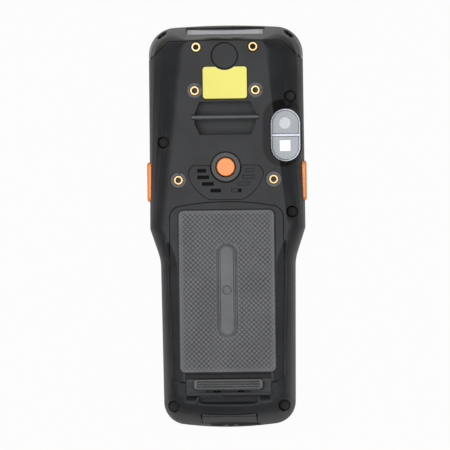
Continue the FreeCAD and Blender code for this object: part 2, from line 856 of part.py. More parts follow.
nose_screws = node(body("nose_screws"))
heads = sketch(nose_screws, "XZ", -(nose_seat_y + 1.4))
shanks = sketch(nose_screws, "XZ", -(nose_seat_y))
for side in (-1, 1):
    circle(heads, nose_screw_x * side, nose_screw_z, nose_head_radius)
    circle(shanks, nose_screw_x * side, nose_screw_z, 0.95)
pad(heads, 1.4)
pad(shanks, 6)

# Small fittings of the back

inserts = node(body("threaded_inserts"))
for pair in insert_pairs:
    rings = sketch(inserts, "XY", back_z - pair["sink"] - insert_length)
    for side in (-1, 1):
        circle(rings, pair["half"] * side, pair["y"], insert_radius)
        circle(rings, pair["half"] * side, pair["y"], insert_bore)
    pad(rings, insert_length)

case_screws = node(body("case_screws"))
shanks = sketch(case_screws, "XY", screw_tip)
heads = sketch(case_screws, "XY", screw_seat)
for x, y in screw_places:
    circle(shanks, x, y, screw_shank)
    circle(heads, x, y, screw_head_radius)
pad(shanks, screw_seat - screw_tip)
pad(heads, screw_head_height)

plug = node(body("round_plug"))
drawing = sketch(plug, "XY", back_z - 1.6)
circle(drawing, 0, plug_y, plug_radius)
pad(drawing, 1.6)

label = node(body("label_plate"))
drawing = sketch(label, "XY", back_z - label_thick - 0.2)
rectangle(drawing, 0, label_y, label_width, label_height, 1.2)
pad(drawing, label_thick)
notch = sketch(label, "XY", back_z - 1)
circle(notch, 0, plug_y, plug_radius + 0.6)
pocket(notch, 2, True)

bar = node(body("strap_bar"))
drawing = sketch(bar, "YZ")
circle(drawing, strap_y + strap_bar_offset, strap_bar_z, strap_bar_radius)
pad(drawing, strap_bar_half * 2, False, True)


def window_half(drawing, side, gap):
    # One D of the camera bezel: straight along the bar, round at the far end.
    half = camera_width / 2 - bezel_rim - gap
    near = bezel_bar / 2 + gap
    rise = camera_length / 2 - camera_width / 2
    if side > 0:
        loop(drawing, [
            (camera_x + half, camera_y + near, 0), (camera_x + half, camera_y + rise, half),
            (camera_x, camera_y + rise + half, half), (camera_x - half, camera_y + rise, 0),
            (camera_x - half, camera_y + near, 0),
        ])
        return
    loop(drawing, [
        (camera_x - half, camera_y - near, 0), (camera_x - half, camera_y - rise, half),
        (camera_x, camera_y - rise - half, half), (camera_x + half, camera_y - rise, 0),
        (camera_x + half, camera_y - near, 0),
    ])


bezel = node(body("camera_bezel"))
drawing = sketch(bezel, "XY", camera_deck)
pill(drawing, camera_x, camera_y, camera_width, camera_length)
for side in (1, -1):
    window_half(drawing, side, 0)
pad(drawing, bezel_thick)
for label_text, side in (("camera_window", 1), ("flash_window", -1)):
    pane = node(body(label_text))
    drawing = sketch(pane, "XY", camera_deck + 0.05)
    window_half(drawing, side, 0.05)
    pad(drawing, bezel_thick - 0.25)

camera = node(body("camera_module"))
drawing = sketch(camera, "XY", front_panel + 3.7)
rectangle(drawing, camera_x - 0.6, lens_y, 7.6, 7.6)
pad(drawing, 4.5)
barrel = sketch(camera, "XY", front_depth)
circle(barrel, camera_x - 0.2, lens_y, lens_radius)
pad(barrel, camera_deck - front_depth)

node(plate("flash_led", camera_x - 0.2, flash_y, flash_side, flash_side, 0, front_panel + 3.7,
           camera_deck - front_panel - 3.7))

# Speaker panel, button and side keys

panel = node(body("speaker_panel"))
drawing = sketch(panel, "XY", back_z - panel_thick)
smile(drawing, 0)
pad(drawing, panel_thick)
slots_open = sketch(panel, "XY", back_z - panel_thick)
slots_blind = sketch(panel, "XY", back_z - panel_thick / 2)
for middle, width, y in ((10, 3.5, -1.5), (9.4, 4.8, -4.2), (7.5, 4.8, -7.0), (4.3, 4.2, -9.8)):
    rectangle(slots_open, -middle, button_y + y, width, slot_height)
    rectangle(slots_blind, middle, button_y + y, width, slot_height)
pocket(slots_open, panel_thick + 1, True)
pocket(slots_blind, panel_thick, True)

node(plate("speaker_driver", speaker_x, speaker_y, speaker_radius * 1.6, speaker_radius * 1.6, 1.5,
           back_z - 6.8, 4.1))

ring = node(body("button_ring"))
ring_low = back_z - panel_thick - 0.3
drawing = sketch(ring, "XY", ring_low)
circle(drawing, 0, button_y, ring_radius)
circle(drawing, 0, button_y, button_radius + key_gap)
ring_pad = pad(drawing, back_z + 0.5 - ring_low)

button = node(body("rear_button"))
flange = sketch(button, "XY", ring_low - run_gap - 0.7)
circle(flange, 0, button_y, button_radius + 0.8)
pad(flange, 0.7)
cap_drawing = sketch(button, "XY", ring_low - run_gap)
circle(cap_drawing, 0, button_y, button_radius)
button_cap = pad(cap_drawing, back_z + 0.9 - ring_low + run_gap)
stem = sketch(button, "XY", ring_low - 2.2)
circle(stem, 0, button_y, 2)
pad(stem, 1.5)


def side_key(label, side):
    owner = node(body(label))
    inner = waist_half - 2
    outer = waist_half + side_key_proud
    middle = (side_key_low + side_key_high) / 2
    height = side_key_high - side_key_low
    flange = sketch(owner, "YZ", (inner - 0.9) * side)
    rectangle(flange, side_key_y, middle, side_key_length + 1.6, height + 0.4)
    pad(flange, 0.9, side < 0)
    face = sketch(owner, "YZ", inner * side)
    rectangle(face, side_key_y, middle, side_key_length, height, 2.2)
    made = pad(face, outer - inner, side < 0)
    dress("Chamfer", made, lambda edge: abs(abs(edge.BoundBox.XMin) - number(outer)) < 1e-4
          and abs(abs(edge.BoundBox.XMax) - number(outer)) < 1e-4, 0.6)


side_key("side_key_left", -1)
side_key("side_key_right", 1)

switches = node(body("key_switches"))
drawing = sketch(switches, "XY", front_panel + 3.7)
for side in (-1, 1):
    rectangle(drawing, (waist_half - 2.9 - side_key_travel - run_gap - 1.5) * side, side_key_y, 3, 6)
pad(drawing, 7.8)
tower = sketch(switches, "XY", front_panel + 3.7)
rectangle(tower, 0, button_y, 6, 6)
pad(tower, ring_low - 2.2 - button_travel - run_gap - front_panel - 3.7)

# Battery side

cover_block = body("cover_block")
drawing = sketch(cover_block, "XY", cover_ledge + cover_gap)
cover_outline(drawing, 0)
pad(drawing, back_z)
relief = sketch(cover_block, "XY", back_z - 1)
rectangle(relief, 0, pad_end_y - 0.4 - 3, latch_recess_half * 2, 6)
pocket(relief, back_z, True)
notch = sketch(cover_block, "XY", cover_ledge)
rectangle(notch, 0, cover_end_y + 1.4 - 3, latch_recess_half * 2 + 0.4, 6)
pocket(notch, back_z, True)
cover_skin = combine("Common", "cover_skin", form, cover_block)
tabs = body("cover_tabs")
drawing = sketch(tabs, "XY", cover_ledge + cover_gap - tab_deep)
for side in (-1, 1):
    rectangle(drawing, tab_x * side, cover_top_y + tab_reach - 2, tab_width, 4)
pad(drawing, tab_deep)
node(combine("Fuse", "battery_cover", cover_skin, tabs))

grip = node(body("grip_pad"))
pad_low = sketch(grip, "XY", back_z)
pad_high = sketch(grip, "XY", back_z + pad_rise)
pad_length = pad_top_y - pad_end_y
pad_y = (pad_top_y + pad_end_y) / 2
rectangle(pad_low, 0, pad_y, pad_half * 2, pad_length, 4)
rectangle(pad_high, 0, pad_y, (pad_half - pad_bevel) * 2, pad_length - pad_bevel * 2, 3)
loft(grip, [pad_low, pad_high], True)
strip = sketch(grip, "XY", back_z + pad_rise - 0.4)
strip_length = strip_top_y - strip_end_y
strip_y = (strip_top_y + strip_end_y) / 2
rectangle(strip, 0, strip_y, strip_half * 2, strip_length, 1.6)
rectangle(strip, 0, strip_y, strip_half * 2 - 1.8, strip_length - 1.8, 0.8)
pocket(strip, 1, True)
dimple = sketch(grip, "XY", back_z + pad_rise - 0.4)
circle(dimple, 0, dimple_y, 1.9)
pocket(dimple, 1, True)

node(plate("battery_pack", 0, bay_y, (bay_half - battery_gap) * 2, bay_length - battery_gap * 2, 1.8,
           bay_floor + 0.1, cover_ledge - bay_floor - 0.6))

contacts = node(body("battery_contacts"))
drawing = sketch(contacts, "XY", bay_floor + 1.15)
rectangle(drawing, 0, bay_top_y + 1.1, contact_half * 2, 2.6)
pad(drawing, 4)

latch = node(body("latch_slider"))
latch_top = cover_end_y + 1.4 - run_gap
latch_low = latch_floor + cover_gap
drawing = sketch(latch, "XY", latch_low)
rectangle(drawing, 0, (latch_top + latch_lip_y) / 2, latch_half * 2, latch_top - latch_lip_y, 1)
pad(drawing, back_z + 0.9 - latch_low)
ribs = sketch(latch, "XY", back_z + 0.4)
for step in (0, 1, 2):
    rectangle(ribs, 0, latch_lip_y + 0.9 + step * 1.05, latch_half * 2 - 3, 0.45)
pocket(ribs, 1, True)
foot = sketch(latch, "XY", latch_floor - latch_foot_depth)
foot_y = latch_lip_y + 1.8
rectangle(foot, 0, foot_y, latch_foot_half * 2, 1.6)
pad(foot, latch_foot_depth + cover_gap)

springs = node(body("latch_springs"))
drawing = sketch(springs, "XZ", -(foot_y - 0.85))
for side in (-1, 1):
    circle(drawing, 5 * side, latch_floor - latch_foot_depth / 2, spring_radius)
pad(drawing, foot_y - 0.85 - latch_end_y - 0.05)

# Tail: rubber flap and dock connector

flap = node(body("port_cover"))
drawing = sketch(flap, "YZ")
flap_low, flap_high = port_low + 0.15, port_high - 0.2
flap_out = 0.1
loop(drawing, [
    (tail_face(flap_low, flap_out), flap_low, 0), (tail_face(flap_low, flap_thick), flap_low, 0),
    (tail_face(flap_high, flap_thick), flap_high, 0), (tail_face(flap_high, flap_out), flap_high, 0),
])
pad(drawing, port_half * 2, False, True)

dock = node(body("dock_connector"))
dock_face = tail_face(port_high, flap_thick + cover_gap) + 0.05
drawing = sketch(dock, "XZ", -dock_face)
rectangle(drawing, 0, dock_z, dock_half * 2, dock_height, 1.2)
pad(drawing, tail_y + 11.9 - dock_face, True)
mouth = sketch(dock, "XZ", -dock_face)
rectangle(mouth, 0, dock_z, dock_half * 2 - 1.2, dock_height - 1.2, 0.6)
pocket(mouth, 4.5)

# Screen side

front = node(body("front_case"))
rims = []
for z, inset in ((front_depth, 0), (front_depth - 5.5, 0.35), (1.4, 1.3), (0, 2.6)):
    drawing = sketch(front, "XY", z)
    outline(drawing, base_level, inset)
    rims.append(drawing)
loft(front, rims, True)
room = sketch(front, "XY", front_panel)
outline(room, base_level, wall)
pocket(room, front_depth, True)
side_bosses = sketch(front, "XY", display_back + 0.2)
tail_bosses = sketch(front, "XY", front_panel - 0.5)
boss_holes = sketch(front, "XY", screw_tip - 0.2)
boss_radius = screw_boss - 0.6
boss_webs = sketch(front, "XY", display_back + 0.2)
for x, y in screw_places:
    circle(boss_holes, x, y, screw_shank + 0.05)
    if number(y) < number(waist_y) * 10:
        circle(tail_bosses, x, y, boss_radius)
        continue
    circle(side_bosses, x, y, boss_radius)
    side = math.copysign(1, number(x))
    reach = (waist_half - wall / 2 - 0.3) * side
    rectangle(boss_webs, (x + reach) / 2, y, (reach - x) * side, boss_radius * 1.6)
pad(side_bosses, front_depth - display_back - 0.2)
pad(boss_webs, front_depth - display_back - 0.2)
pad(tail_bosses, front_depth - front_panel + 0.5)
pocket(boss_holes, front_depth, True)
glass_seat = sketch(front, "XY", glass_sink + glass_thick + 0.05)
rectangle(glass_seat, 0, glass_y, glass_width + 0.2, glass_length + 0.2, 2.6)
pocket(glass_seat, 5)
view = sketch(front, "XY", front_panel + 1)
rectangle(view, 0, glass_y, view_width, view_length, 0.8)
pocket(view, 6)
dish = sketch(front, "XY", dish_depth)
rectangle(dish, 0, (dish_top_y + dish_end_y) / 2, dish_half * 2, dish_top_y - dish_end_y, 6)
pocket(dish, 3)

# Middle, width and height of each key
key_places = {
    "key_esc": (18.2, -8, 9.2, 6.6), "key_up": (0, -8, 9, 6), "key_enter": (-18.2, -8, 9.2, 6.6),
    "key_left": (13.2, -17.6, 7, 8), "key_scan": (0, -17.6, 14, 9), "key_right": (-13.2, -17.6, 7, 8),
    "key_power": (18.2, -27.2, 9.2, 6.6), "key_down": (0, -27.2, 9, 6), "key_fn": (-18.2, -27.2, 9.2, 6.6),
}
for row, names in enumerate((("1", "2", "3"), ("4", "5", "6"), ("7", "8", "9"), ("star", "0", "hash"))):
    for column, name in enumerate(names):
        key_places["key_" + name] = (16 - 16 * column, -37 - 9.2 * row, 12.4, 6.6)
ways = sketch(front, "XY", front_panel + 1)
for x, y, width, height in key_places.values():
    rectangle(ways, x, y, width + key_gap * 2, height + key_gap * 2, 2.1)
pocket(ways, front_panel + 2)
light_way = sketch(front, "XY", front_panel + 1)
light_y = glass_y + glass_length / 2 + 2
rectangle(light_way, 15, light_y, 5.1, 1.5)
pocket(light_way, front_panel + 2)
groove = sketch(front, "XY", front_depth - 0.8)
outline(groove, base_level, 0.55)
outline(groove, base_level, 1.35)
pocket(groove, 2, True)

gasket = node(body("case_gasket"))
drawing = sketch(gasket, "XY", front_depth - 0.8)
outline(drawing, base_level, 0.6)
outline(drawing, base_level, 1.3)
pad(drawing, 0.8)

node(plate("touch_glass", 0, glass_y, glass_width, glass_length, 2.5, glass_sink, glass_thick))
node(plate("status_light", 15, light_y, 5, 1.4, 0, 0.7, 3.6))

display = node(body("display_module"))
drawing = sketch(display, "XY", glass_sink + glass_thick + 0.05)
rectangle(drawing, 0, glass_y, view_width - 0.3, view_length - 0.3, 0.8)
pad(drawing, front_panel + 0.1 - glass_sink - glass_thick)
drawing = sketch(display, "XY", front_panel + 0.1)
rectangle(drawing, 0, glass_y, view_width + 1.6, view_length + 1)
pad(drawing, display_back - front_panel - 0.1)

flange_low = front_panel + 0.15
flange_more = flange_edge * 2 + key_gap * 2
for label_text, (x, y, width, height) in key_places.items():
    key = node(body(label_text))
    drawing = sketch(key, "XY", flange_low)
    rectangle(drawing, x, y, width + flange_more, height + flange_more)
    pad(drawing, flange_thick)
    drawing = sketch(key, "XY", key_sink)
    rectangle(drawing, x, y, width, height, 1.9)
    shaft = pad(drawing, flange_low - key_sink)
    dress("Chamfer", shaft, level_edges(key_sink), 0.4)

mat_low = flange_low + flange_thick + key_travel + 0.05
mat_top = dish_top_y
node(plate("keypad_mat", 0, (mat_top + dish_end_y) / 2, dish_half * 2, mat_top - dish_end_y, 2, mat_low,
           mat_thick))

board = node(body("main_board"))
board_low = mat_low + mat_thick + 0.1
drawing = sketch(board, "XY", board_low)
board_half = head_half - wall - 1
board_narrow = grip_half - wall - 0.9
right = [
    (board_narrow - 0.6, tail_y + 4.3, 6), (board_narrow, waist_y - 9, 1),
    (board_half - 0.2, waist_y + 6, 1), (board_half, nose_y - 3.4, 9.5),
]
rounded(drawing, right + [(-x, y, radius) for x, y, radius in reversed(right)])
pad(drawing, board_thick)
clearings = sketch(board, "XY", board_low - 1)
edge_clearings = sketch(board, "XY", board_low - 1)
clearing_radius = boss_radius + 0.2
for x, y in screw_places:
    circle(clearings, x, y, clearing_radius)
    side = math.copysign(1, number(x))
    out = (waist_half + 1) * side
    rectangle(edge_clearings, (x + out) / 2, y, (out - x) * side, clearing_radius * 2)
pocket(clearings, board_thick + 2, True)
pocket(edge_clearings, board_thick + 2, True)

engine = node(body("scan_engine"))
drawing = sketch(engine, "XY", front_panel + 3.7)
rectangle(drawing, 0, cap_line_y - wall - 0.6 - 6.5, 22, 13)
pad(drawing, 12.3)
lens = sketch(engine, "XZ", -(cap_line_y - wall - 0.6))
circle(lens, 0, (window_low + window_high) / 2 + 0.8, 2.6)
pad(lens, 0.5, True)


doc.recompute()
faults = []
least_cut = 0.01
for thing in doc.Objects:
    if "Invalid" in thing.State or "Error" in thing.State:
        faults.append("%s has failed" % thing.Name)
    elif thing.TypeId == "PartDesign::Pocket":
        if thing.BaseFeature.Shape.Volume - thing.Shape.Volume < least_cut:
            faults.append("%s on %s cuts nothing" % (thing.Name, thing.Profile[0].Name))
for thing in nodes:
    if thing.Shape.isNull() or not thing.Shape.isValid():
        faults.append("%s has no valid solid" % thing.Label)
if faults:
    raise RuntimeError(", ".join(faults))
os.makedirs("parts", exist_ok=True)
for thing in nodes:
    print(thing.Label, len(thing.Shape.Solids), round(thing.Shape.Volume))
    thing.Shape.exportStep("parts/%s.step" % thing.Label)
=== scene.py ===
import json
import math

import bmesh
import bpy
from mathutils import Matrix, Vector

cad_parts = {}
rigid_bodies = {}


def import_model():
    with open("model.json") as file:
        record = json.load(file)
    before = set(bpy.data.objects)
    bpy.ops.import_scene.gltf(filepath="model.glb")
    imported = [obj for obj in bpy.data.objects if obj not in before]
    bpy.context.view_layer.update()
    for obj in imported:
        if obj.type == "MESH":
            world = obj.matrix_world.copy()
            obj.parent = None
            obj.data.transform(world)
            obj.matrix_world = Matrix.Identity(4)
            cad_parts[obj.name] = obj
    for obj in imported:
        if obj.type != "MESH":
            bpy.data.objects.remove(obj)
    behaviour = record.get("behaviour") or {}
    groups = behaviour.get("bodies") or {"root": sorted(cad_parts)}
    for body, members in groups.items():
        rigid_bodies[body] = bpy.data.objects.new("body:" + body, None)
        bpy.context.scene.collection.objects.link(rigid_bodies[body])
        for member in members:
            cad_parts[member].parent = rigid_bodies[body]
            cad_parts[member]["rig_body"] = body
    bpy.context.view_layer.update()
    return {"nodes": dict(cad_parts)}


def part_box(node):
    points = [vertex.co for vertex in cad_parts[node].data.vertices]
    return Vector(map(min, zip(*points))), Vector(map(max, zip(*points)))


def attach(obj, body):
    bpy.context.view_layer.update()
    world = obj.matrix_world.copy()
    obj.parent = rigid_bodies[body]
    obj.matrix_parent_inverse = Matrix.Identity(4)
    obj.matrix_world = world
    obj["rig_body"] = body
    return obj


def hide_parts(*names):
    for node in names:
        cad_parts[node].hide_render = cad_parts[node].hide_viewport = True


# The looks of a handheld data terminal that lies on its screen, back up.
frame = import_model()
nodes = frame["nodes"]
mm = 0.001
print("frame loaded:", len(nodes), "nodes")


# Camera: almost straight down on the back
view = {
    "aim": (-0.85, 0.6, 20),  # what the middle of the picture looks at, mm
    "frameWidth": 187.7,  # mm across the picture at that height
    "distance": 2400,  # mm
    "sensor": 36,
    "leanRight": 2.0,  # degrees from straight above, to the right of the back
    "leanDown": -0.5,  # and to its tail
    "roll": 0.7,
}


def makeCamera():
    data = bpy.data.cameras.new("productCamera")
    data.sensor_width = view["sensor"]
    data.lens = view["sensor"] * view["distance"] / view["frameWidth"]
    camera = bpy.data.objects.new("productCamera", data)
    bpy.context.scene.collection.objects.link(camera)
    right, down, roll = (math.radians(view[name]) for name in ("leanRight", "leanDown", "roll"))
    away = Vector((math.sin(right), -math.sin(down), 1)).normalized()
    across = Vector((math.sin(roll), math.cos(roll), 0)).cross(away).normalized()
    turn = Matrix((across, away.cross(across), away)).transposed().to_4x4()
    turn.translation = (Vector(view["aim"]) + away * view["distance"]) * mm
    camera.matrix_world = turn
    bpy.context.scene.camera = camera


makeCamera()
print("camera set")


# Node trees written as sums: one class for a value, one for the tree that holds it

class Value:
    def __init__(self, recipe, socket):
        self.recipe = recipe
        self.socket = socket

    def __add__(self, other):
        return self.recipe.maths("ADD", self, other)

    def __sub__(self, other):
        return self.recipe.maths("SUBTRACT", self, other)

    def __mul__(self, other):
        return self.recipe.maths("MULTIPLY", self, other)

    def __truediv__(self, other):
        return self.recipe.maths("DIVIDE", self, other)

    def __rsub__(self, other):
        return self.recipe.maths("SUBTRACT", other, self)

    def __gt__(self, other):
        return self.recipe.maths("GREATER_THAN", self, other)

    def __lt__(self, other):
        return self.recipe.maths("LESS_THAN", self, other)

    def __pow__(self, other):
        return self.recipe.maths("POWER", self, other)

    def __abs__(self):
        return self.recipe.maths("ABSOLUTE", self)

    __radd__ = __add__


class Recipe:
    def __init__(self, tree):
        self.tree = tree

    def add(self, kind, settings=None, inputs=None, output=0):
        made = self.tree.nodes.new(kind)
        for name, value in (settings or {}).items():
            setattr(made, name, value)
        for name, value in (inputs or {}).items():
            if isinstance(value, Value):
                self.tree.links.new(value.socket, made.inputs[name])
            else:
                made.inputs[name].default_value = value
        return Value(self, made.outputs[output]) if made.outputs else None

    def maths(self, operation, *values):
        return self.add("ShaderNodeMath", {"operation": operation}, dict(enumerate(values)))

    def blend(self, share, low, high):
        return self.add("ShaderNodeMix", {"data_type": "RGBA"}, {0: share, 6: low, 7: high}, 2)

    def apart(self, vector):
        split = self.add("ShaderNodeSeparateXYZ", inputs={"Vector": vector})
        return [Value(self, socket) for socket in split.socket.node.outputs]

    def noise(self, place, size, detail=2):
        return self.add("ShaderNodeTexNoise", inputs={"Vector": place, "Scale": 1 / (size * mm),
                                                      "Detail": detail})

    def smooth(self, value, low, high):
        return self.add("ShaderNodeMapRange", {"interpolation_type": "SMOOTHSTEP"},
                        {"Value": value, "From Min": low, "From Max": high})


def tone(red, green, blue):
    # A colour as it is seen on a screen, 0 to 255, in linear light
    return tuple(((c / 255 + 0.055) / 1.055) ** 2.4 if c > 10 else c / 255 / 12.92
                 for c in (red, green, blue)) + (1,)


texture = {  # what every finish shares: sizes in mm, shares, and the spread of the roughness
    "grainSize": 0.3, "grainDetail": 3, "grainDepth": 0.08, "mottleSize": 14, "mottleFrom": 0.35,
    "mottleTo": 0.65, "roughLess": 0.06, "roughSpread": 0.12, "coatRough": 0.12, "edgeSamples": 6,
}


def finish(name, look, paint=None):
    # One finish: fine grain, a little mottling and softened edges.
    made = bpy.data.materials.new(name)
    made.use_nodes = True
    made.node_tree.nodes.clear()
    recipe = Recipe(made.node_tree)
    place = recipe.add("ShaderNodeTexCoord", output=3)
    grain = recipe.noise(place, texture["grainSize"], texture["grainDetail"])
    mottle = recipe.noise(place, texture["mottleSize"])
    colour = look["colour"]
    spread = look.get("mottle", 0.12)
    darker = tuple(c * (1 - spread) for c in colour[:3]) + (1,)
    lighter = tuple(min(1, c * (1 + spread)) for c in colour[:3]) + (1,)
    base = recipe.blend(recipe.smooth(mottle, texture["mottleFrom"], texture["mottleTo"]), darker, lighter)
    if paint:
        base = paint(recipe, place, base)
    edge = recipe.add("ShaderNodeBevel", {"samples": texture["edgeSamples"]},
                      {"Radius": look.get("edge", 0.2) * mm})
    normal = recipe.add("ShaderNodeBump", inputs={
        "Strength": look["grain"], "Distance": texture["grainDepth"] * mm, "Height": grain, "Normal": edge})
    rough = look["rough"] - texture["roughLess"] + grain * texture["roughSpread"]
    surface = recipe.add("ShaderNodeBsdfPrincipled", inputs={
        "Base Color": base, "Roughness": rough, "Metallic": look.get("metal", 0),
        "Specular IOR Level": look.get("specular", 0.4), "Coat Weight": look.get("coat", 0),
        "Coat Roughness": texture["coatRough"], "Normal": normal})
    recipe.add("ShaderNodeOutputMaterial", inputs={"Surface": surface})
    return made


# Tones laid into a surface's colour by place: some are the surface's own colour, some are painted shade and
# painted light

marks = {  # places and sizes in mm; a pair of sizes is where a tone ends, from and to
    "lens": (24.7, 42.8), "lensEnd": (2.2, 2.5), "lensTone": tone(186, 192, 196),
    "flash": (24.7, 33.4), "flashEnd": (2.1, 2.3), "flashTone": tone(252, 253, 253),
    # The hollow, gap and screw tones are painted shade; the well and seat tones are painted light.
    "hollow": (23.9, 38.7), "hollowStraight": 5.6, "hollowEnd": (7.8, 9.0), "hollowShadeTone": tone(7, 7, 8),
    "well": (0, -67), "wellHalf": (17.8, 3.5), "wellLitTone": tone(58, 59, 61),
    "gapHalf": 17.6, "gapY": -61, "gapShadeTone": tone(5, 5, 6),
    "screws": ((-26.1, 35.3), (26.9, 54), (27.3, 5.9), (-23.1, -74.8), (23.1, -74.8)),
    "screwEnd": (2.4, 2.7), "screwShadeTone": tone(4, 4, 4),
    "seats": ((-12.65, 56.7), (12.65, 56.7), (-19.85, 19.5), (19.85, 19.5)),
    "seatEnd": (3.1, 3.4), "seatLitTone": tone(92, 93, 96),
    "windowEnd": (13.9, 14.3), "windowTone": tone(20, 22, 24),
    "screen": (0, 39), "screenHalf": (27.2, 36.3), "screenTone": tone(34, 38, 44),
    "boxSoft": 0.1,
}


def outOfCircle(recipe, place, centre, ends, straight=0):
    # 0 inside a circle, or one drawn out along Y, and 1 outside it
    x, y = recipe.apart(place)[:2]
    along = y - centre[1] * mm
    if straight:
        along = recipe.maths("MAXIMUM", abs(along) - straight * mm, 0)
    away = ((x - centre[0] * mm) ** 2 + along ** 2) ** 0.5
    return recipe.smooth(away, ends[0] * mm, ends[1] * mm)


def outOfBox(recipe, place, centre, half):
    # 0 inside a rectangle and 1 outside it
    x, y = recipe.apart(place)[:2]
    outX = abs(x - centre[0] * mm) - half[0] * mm
    outY = abs(y - centre[1] * mm) - half[1] * mm
    out = recipe.maths("MAXIMUM", outX, outY)
    return recipe.smooth(out, -marks["boxSoft"] * mm, marks["boxSoft"] * mm)


def lensDisc(recipe, place, base):
    return recipe.blend(outOfCircle(recipe, place, marks["lens"], marks["lensEnd"]), marks["lensTone"], base)


def flashSquare(recipe, place, base):
    x, y = recipe.apart(place)[:2]
    away = recipe.maths("MAXIMUM", abs(x - marks["flash"][0] * mm), abs(y - marks["flash"][1] * mm))
    low, high = marks["flashEnd"]
    return recipe.blend(recipe.smooth(away, low * mm, high * mm), marks["flashTone"], base)


def recessShadeAndLight(recipe, place, base):
    # Painted shade darkens the hollow that the camera stands in, and the screw recesses to near black.
    # Painted light makes the well that the latch stands in lighter, and the counterbore floors round the
    # insert seats.
    hollow = outOfCircle(recipe, place, marks["hollow"], marks["hollowEnd"], marks["hollowStraight"])
    base = recipe.blend(hollow, marks["hollowShadeTone"], base)
    base = recipe.blend(outOfBox(recipe, place, marks["well"], marks["wellHalf"]), marks["wellLitTone"], base)
    for spots, ends, shade in (("screws", "screwEnd", "screwShadeTone"), ("seats", "seatEnd", "seatLitTone")):
        for centre in marks[spots]:
            base = recipe.blend(outOfCircle(recipe, place, centre, marks[ends]), marks[shade], base)
    return base


def coverGapShade(recipe, place, base):
    # The gap between the pad and the latch is painted in deep shade.
    x, y = recipe.apart(place)[:2]
    out = recipe.maths("MAXIMUM", abs(x) - marks["gapHalf"] * mm, y - marks["gapY"] * mm)
    share = recipe.smooth(out, -marks["boxSoft"] * mm, marks["boxSoft"] * mm)
    return recipe.blend(share, marks["gapShadeTone"], base)


def windowEnds(recipe, place, base):
    low, high = marks["windowEnd"]
    share = recipe.smooth(abs(recipe.apart(place)[0]), low * mm, high * mm)
    return recipe.blend(share, base, marks["windowTone"])


def screenArea(recipe, place, base):
    share = outOfBox(recipe, place, marks["screen"], marks["screenHalf"])
    return recipe.blend(share, marks["screenTone"], base)


looks = {
    "casePlastic": {"colour": tone(41, 42, 44), "rough": 0.5, "grain": 0.5, "edge": 0.3,
                    "specular": 0.2},
    "capPlastic": {"colour": tone(17, 18, 11), "rough": 0.3, "grain": 0.08, "edge": 0.3,
                   "specular": 0.3},
    "coverPlastic": {"colour": tone(41, 42, 44), "rough": 0.5, "grain": 0.45, "edge": 0.25,
                     "specular": 0.2},
    "padPlastic": {"colour": tone(70, 71, 74), "rough": 0.42, "grain": 0.3, "edge": 0.06},
    "stripPlastic": {"colour": tone(78, 80, 84), "rough": 0.44, "grain": 0.3, "edge": 0.1},
    "latchPlastic": {"colour": tone(60, 61, 63), "rough": 0.44, "grain": 0.3, "edge": 0.15},
    "fittingPlastic": {"colour": tone(36, 37, 39), "rough": 0.44, "grain": 0.3, "edge": 0.15},
    "orangePlastic": {"colour": tone(252, 148, 74), "rough": 0.42, "grain": 0.2, "mottle": 0.03,
                      "edge": 0.3},
    "keyPlastic": {"colour": tone(46, 46, 48), "rough": 0.45, "grain": 0.25, "edge": 0.2},
    "labelYellow": {"colour": tone(240, 233, 118), "rough": 0.5, "grain": 0.06, "mottle": 0.02,
                    "specular": 0.25, "edge": 0.05},
    "brass": {"colour": tone(168, 142, 98), "rough": 0.36, "grain": 0.15, "metal": 1, "edge": 0.12},
    "bezelMetal": {"colour": tone(150, 155, 162), "rough": 0.36, "grain": 0.12, "metal": 0.4,
                   "edge": 0.15},
    "barMetal": {"colour": tone(70, 71, 74), "rough": 0.4, "grain": 0.15, "edge": 0.1},
    "screwSteel": {"colour": tone(16, 16, 17), "rough": 0.5, "grain": 0.2, "specular": 0.15,
                   "edge": 0.1},
    "darkParts": {"colour": tone(12, 12, 13), "rough": 0.7, "grain": 0.3, "specular": 0.1},
    "rubber": {"colour": tone(34, 34, 36), "rough": 0.6, "grain": 0.5, "edge": 0.3},
    "boardGreen": {"colour": tone(30, 84, 58), "rough": 0.45, "grain": 0.2},
    "partMetal": {"colour": tone(70, 70, 72), "rough": 0.45, "grain": 0.2, "metal": 0.9},
    "legendWhite": {"colour": tone(225, 226, 228), "rough": 0.5, "grain": 0.1, "mottle": 0.02},
}
# Two of these finishes carry painted shade and painted light, on the rear case and on the battery cover.
painted = {  # finishes with tones laid on by place
    "backPlasticPaintedShade": (looks["coverPlastic"], coverGapShade),
    "rearPlasticPaintedShadeAndLight": (looks["casePlastic"], recessShadeAndLight),
    "scanGlass": ({"colour": tone(112, 120, 134), "rough": 0.16, "grain": 0.02, "coat": 1, "edge": 0.1},
                  windowEnds),
    "lensGlass": ({"colour": tone(132, 140, 146), "rough": 0.25, "grain": 0.02, "coat": 0.15,
                   "mottle": 0.05, "edge": 0.08}, lensDisc),
    "flashGlass": ({"colour": tone(138, 146, 152), "rough": 0.25, "grain": 0.02, "coat": 0.15,
                    "mottle": 0.05, "edge": 0.08}, flashSquare),
    "screenGlass": ({"colour": tone(14, 15, 17), "rough": 0.12, "grain": 0.02, "coat": 1, "edge": 0.2},
                    screenArea),
}
finishes = {name: finish(name, look) for name, look in looks.items()}
finishes.update({name: finish(name, look, paint) for name, (look, paint) in painted.items()})

